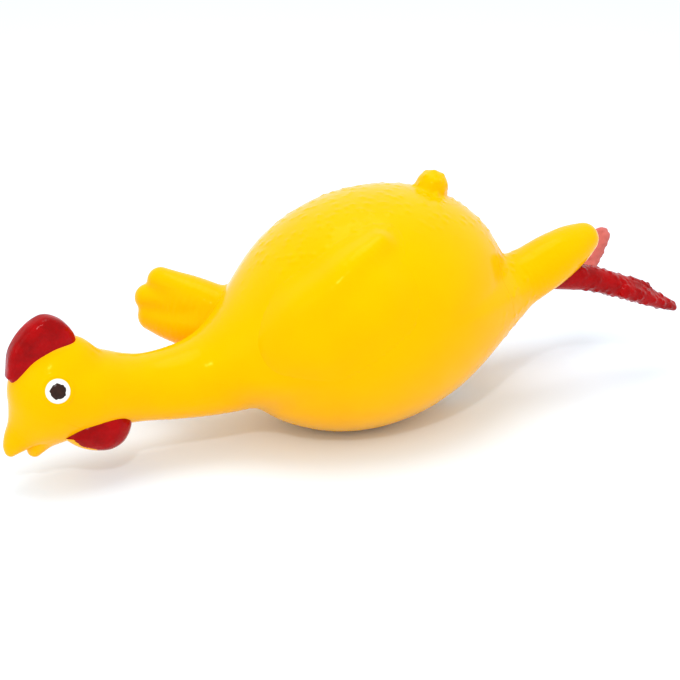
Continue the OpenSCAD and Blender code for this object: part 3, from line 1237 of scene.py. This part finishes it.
VINYL = Finish(
    "yellow_vinyl_skin",
    "yellow_vinyl",
    colour=(0.95, 0.45, 0.0),
    deep=(0.93, 0.38, 0.0),
    gloss=0.14,
    haze=0.08,
    tint=(1.0, 0.75, 0.1),
    specular=0.11,
    wave=0.9,
    wave_scale=90.0,
    pore=0.12,
)
RED = Finish(
    "brushed_red_paint",
    "red_paint",
    colour=(0.37, 0.001, 0.002),
    deep=(0.18, 0.001, 0.001),
    amount=0.8,
    patch=150.0,
    gloss=0.12,
    haze=0.08,
    wave=1.4,
    wave_scale=330.0,
    depth=0.00025,
    specular=0.12,
    tint=(1.0, 0.6, 0.6),
    coat=0.02,
)
PALE_RED = Finish(
    "thin_red_paint",
    "thin_red_paint",
    colour=(0.46, 0.10, 0.085),
    deep=(0.30, 0.02, 0.018),
    amount=0.75,
    patch=170.0,
    gloss=0.16,
    wave=1.2,
    wave_scale=300.0,
    depth=0.0002,
    specular=0.2,
    coat=0.03,
)
WHITE = Finish(
    "eye_white_paint",
    "eye_paint",
    colour=(0.86, 0.85, 0.80),
    deep=(0.74, 0.71, 0.60),
    patch=320.0,
    gloss=0.3,
    wave_scale=500.0,
    specular=0.2,
)
BLACK = Finish(
    "pupil_black_paint",
    "pupil_paint",
    colour=(0.016, 0.005, 0.002),
    deep=(0.045, 0.012, 0.005),
    amount=0.8,
    patch=500.0,
    gloss=0.12,
    wave=1.2,
    wave_scale=600.0,
    specular=0.2,
    coat=0.04,
)
PLASTIC = Finish(
    "moulded_white_plastic",
    "squeaker_plastic",
    colour=(0.78, 0.77, 0.73),
    deep=(0.66, 0.63, 0.55),
    patch=200.0,
    gloss=0.34,
    wave_scale=260.0,
    depth=0.00006,
)
FILM = Finish(
    "clear_reed_film",
    "reed_film",
    colour=(0.80, 0.84, 0.86),
    deep=(0.66, 0.72, 0.76),
    patch=300.0,
    gloss=0.12,
    haze=0.06,
    wave_scale=400.0,
    depth=0.00003,
    specular=0.5,
)


def dress(piece: bpy.types.Object, finish: Finish, effects: Effects) -> bpy.types.Object:
    """Gives a piece its finish.

    Args:
        piece: the piece.
        finish: its finish.
        effects: the shared node groups.

    Returns:
        The same piece.
    """
    piece.data.materials.clear()
    piece.data.materials.append(finish.material(effects))
    return piece


# --------------------------------------------------------------------------------------------- stage


@dataclass
class Studio:
    """A pale floor, soft daylight from all round, three lamps and the camera."""

    aim: Array = field(default_factory=lambda: mm(-7.7, -0.9, 28.2))
    distance: float = 0.520
    turn: float = math.radians(27)
    rise: float = math.radians(24)
    lens: float = 85.0
    floor_size: float = 3.0
    floor_colour: tuple[float, float, float] = (0.78, 0.86, 0.93)
    sky: float = 1.1
    lamp_power: float = 1.8
    lamp_size: float = 0.45
    key_power: float = 1.6
    key_size: float = 0.06
    side_power: float = 0.6
    side_size: float = 0.5

    def build(self) -> None:
        """Makes the floor, the sky, the lamps and the camera."""
        self.floor()
        self.light()
        self.camera()

    def floor(self) -> None:
        """Makes the floor, a plain pale square under the toy."""
        h = self.floor_size / 2
        mesh = bpy.data.meshes.new("floor")
        mesh.from_pydata([(-h, -h, 0), (h, -h, 0), (h, h, 0), (-h, h, 0)], [], [(0, 1, 2, 3)])
        made = bpy.data.materials.new("plain_floor")
        made.use_nodes = True
        shader = made.node_tree.nodes["Principled BSDF"]
        shader.inputs["Base Color"].default_value = (*self.floor_colour, 1)
        shader.inputs["Roughness"].default_value = 0.9
        shader.inputs["Specular IOR Level"].default_value = 0.0
        mesh.materials.append(made)
        piece = bpy.data.objects.new("floor", mesh)
        bpy.context.scene.collection.objects.link(piece)

    def light(self) -> None:
        """Makes the white sky and the lamps."""
        world = bpy.data.worlds.new("studio")
        world.use_nodes = True
        world.node_tree.nodes["Background"].inputs["Color"].default_value = (1, 1, 1, 1)
        world.node_tree.nodes["Background"].inputs["Strength"].default_value = self.sky
        scene = bpy.context.scene
        scene.world = world
        scene.view_settings.view_transform = "Standard"
        lamps = (
            ("overhead_lamp", (0.0, 0.05, 0.75), self.lamp_size, self.lamp_power),
            ("front_lamp", (-0.35, -0.6, 0.75), self.key_size, self.key_power),
            ("side_lamp", (-0.75, -0.3, 0.45), self.side_size, self.side_power),
        )
        for name, place, size, power in lamps:
            data = bpy.data.lights.new(name, "AREA")
            data.shape, data.size, data.energy = "DISK", size, power
            lamp = bpy.data.objects.new(name, data)
            lamp.location = place
            lamp.rotation_euler = (Vector((0, 0, 0.03)) - Vector(place)).to_track_quat("-Z", "Y").to_euler()
            scene.collection.objects.link(lamp)

    def camera(self) -> None:
        """Makes the camera, with no depth of field."""
        data = bpy.data.cameras.new("camera")
        data.lens = self.lens
        data.dof.use_dof = False
        camera = bpy.data.objects.new("camera", data)
        level = math.cos(self.rise)
        back = np.array([-math.sin(self.turn) * level, -math.cos(self.turn) * level, math.sin(self.rise)])
        camera.location = Vector(self.aim + self.distance * back)
        camera.rotation_euler = Vector(-back).to_track_quat("-Z", "Y").to_euler()
        bpy.context.scene.collection.objects.link(camera)
        bpy.context.scene.camera = camera


# ---------------------------------------------------------------------------------------------- main


@dataclass
class Chicken:
    """The whole toy: builds every piece and dresses it, and hangs each piece that rides on one body on that
    body.
    """

    frame: dict
    effects: Effects = field(default_factory=Effects)
    anatomy: Anatomy = field(default_factory=Anatomy)
    vent_axis: tuple[float, float, float] = (0.627, 0.0, -0.779)
    vent_radius: float = 8.5 * MM

    def ride(self, piece: bpy.types.Object, finish: Finish, body: str, *nodes: str) -> None:
        """Dresses a piece that moves with one body and stands for some CAD nodes."""
        dress(piece, finish, self.effects)
        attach(piece, body)
        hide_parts(*nodes)
        LOG.info("%s rides on %s", piece.name, body)

    def bend(
        self,
        piece: bpy.types.Object,
        finish: Finish,
        bodies: tuple[str, str],
        span: tuple[Array, Array],
        *nodes: str,
    ) -> None:
        """Dresses a piece, bakes its place into its mesh and hides the CAD nodes that it stands for."""
        dress(piece, finish, self.effects)
        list(bodies)
        tuple(span[0])
        tuple(span[1])
        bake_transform(piece)
        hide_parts(*nodes)
        LOG.info("%s bends between %s and %s", piece.name, *bodies)

    def trunk(self) -> None:
        """Builds the torso, the neck and the head."""
        low, high = (np.array(c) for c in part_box("squeaker_grille"))
        seat = ((low + high) / 2, unit(np.array(self.vent_axis)), self.vent_radius)
        pieces = Trunk(self.anatomy).build(seat)
        self.ride(pieces["torso_skin_vinyl"], VINYL, "torso", "torso_skin")
        spans = {
            "neck_root_vinyl": (("torso", "neck_root"), -48.5, -55.0, "neck_root_skin"),
            "neck_vinyl": (("neck_root", "neck"), -59.0, -72.0, "neck_skin"),
            "head_vinyl": (("neck", "head"), -81.0, -94.0, "head_skin"),
        }
        for name, (bodies, start, end, node) in spans.items():
            self.bend(pieces[name], VINYL, bodies, (mm(start, 0, 26), mm(end, 0, 26)), node)

    def head(self) -> None:
        """Builds the comb, the wattle, the beak and the eyes."""
        head = Head(self.anatomy)
        self.ride(head.comb(), RED, "head", "comb")
        wattle = head.wattle()
        self.ride(wattle, RED, "head", "wattle")
        head.leave_bare(wattle, VINYL.material(self.effects))
        for node, piece in head.beak().items():
            self.ride(piece, VINYL, "head", node)
        for side in Side:
            word = side.name.lower()
            eye = Eye(self.anatomy.body_skin(), side, self.anatomy.eye, self.anatomy.eye_radius).build()
            self.ride(eye["white"], WHITE, "head", f"{word}_eye_white")
            self.ride(eye["pupil"], BLACK, "head", f"{word}_pupil")

    def wings(self) -> None:
        """Builds the wings."""
        wings = Wings(self.anatomy)
        right_span, left_span = (mm(-42, 21.5, 41), mm(-52, 29, 41)), (mm(-38, -19, 41), mm(-22, -28, 53))
        self.bend(wings.right(), VINYL, ("torso", "right_wing"), right_span, "right_wing")
        self.bend(wings.left(), VINYL, ("torso", "left_wing"), left_span, "left_wing")

    def legs(self) -> None:
        """Builds the legs and the feet."""
        left = Leg(
            self.anatomy,
            Side.LEFT,
            thigh_line=stations(
                (45, -13, 40.5, 10.05),
                (56, -13.5, 44.5, 9),
                (64, -14, 48.2, 8.5),
                (71, -14, 51.2, 7.2),
                (76, -14, 53.3, 5.4),
            ),
            foot_line=stations(
                (66, -14, 42.2, 4.8),
                (79.6, -15, 38.8, 4.2),
                (91.4, -16, 34.3, 3.9),
                (97.8, -16.5, 31.5, 3.6),
                (104.2, -17, 28, 2.9),
                (110, -17.6, 25.2, 2.1),
                (113, -18, 23.6, 1.5),
            ),
            hind_line=stations((95.5, -16, 34.9, 2.2), (102, -16.6, 32, 1.8)),
        )
        right = Leg(
            self.anatomy,
            Side.RIGHT,
            thigh_line=stations(
                (46, 11, 30.5, 9.85),
                (57, 11.5, 31.2, 8.2),
                (66, 12, 32.8, 7.7),
                (73, 12, 35.4, 6.7),
                (78, 12, 37.8, 5.2),
            ),
            foot_line=stations(
                (69, 12, 31, 4.8),
                (86, 13.5, 30.5, 4.6),
                (92.5, 14, 29.8, 4.2),
                (98, 14, 31.5, 3.5),
                (101.3, 14, 36, 3),
                (104.7, 14, 41, 2.5),
            ),
            hind_line=stations((90.5, 14, 34.2, 2.2), (94.5, 14, 35.8, 1.8)),
        )
        for leg, paint in ((left, RED), (right, PALE_RED)):
            word = leg.side.name.lower()
            hip, ankle = joint_place(self.frame, f"{word}_hip"), joint_place(self.frame, f"{word}_ankle")
            span = (hip + mm(5, 0, 0), hip + mm(18, 0, 0))
            self.bend(leg.thigh(), VINYL, ("torso", f"{word}_leg"), span, f"{word}_thigh")
            foot = leg.foot(ankle)
            toward = unit(leg.foot_line[2, :3] - leg.foot_line[0, :3])
            self.ride(foot["shank"], paint, f"{word}_leg", f"{word}_shank")
            span = (ankle - 4 * MM * toward, ankle + 5 * MM * toward)
            self.bend(foot["toes"], paint, (f"{word}_leg", f"{word}_foot"), span, f"{word}_toes")
            self.ride(leg.hind_toe(), paint, f"{word}_foot", f"{word}_hind_toe")

    def squeaker(self) -> None:
        """Finishes the squeaker's own parts, which keep their shapes."""
        for node in ("squeaker_cup", "squeaker_grille", "reed_holder"):
            dress(bpy.data.objects[node], PLASTIC, self.effects)
        dress(bpy.data.objects["squeaker_reed"], FILM, self.effects)

    def build(self) -> None:
        """Builds everything, from the trunk outwards."""
        self.trunk()
        self.head()
        self.wings()
        self.legs()
        self.ride(Tail(self.anatomy).build(), VINYL, "torso", "tail_nub")
        self.squeaker()


def main() -> None:
    """Loads the frame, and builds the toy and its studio."""
    logging.basicConfig(level=logging.INFO, format="%(message)s")
    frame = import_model()
    Chicken(frame).build()
    Studio().build()


if __name__ == "__main__":
    main()
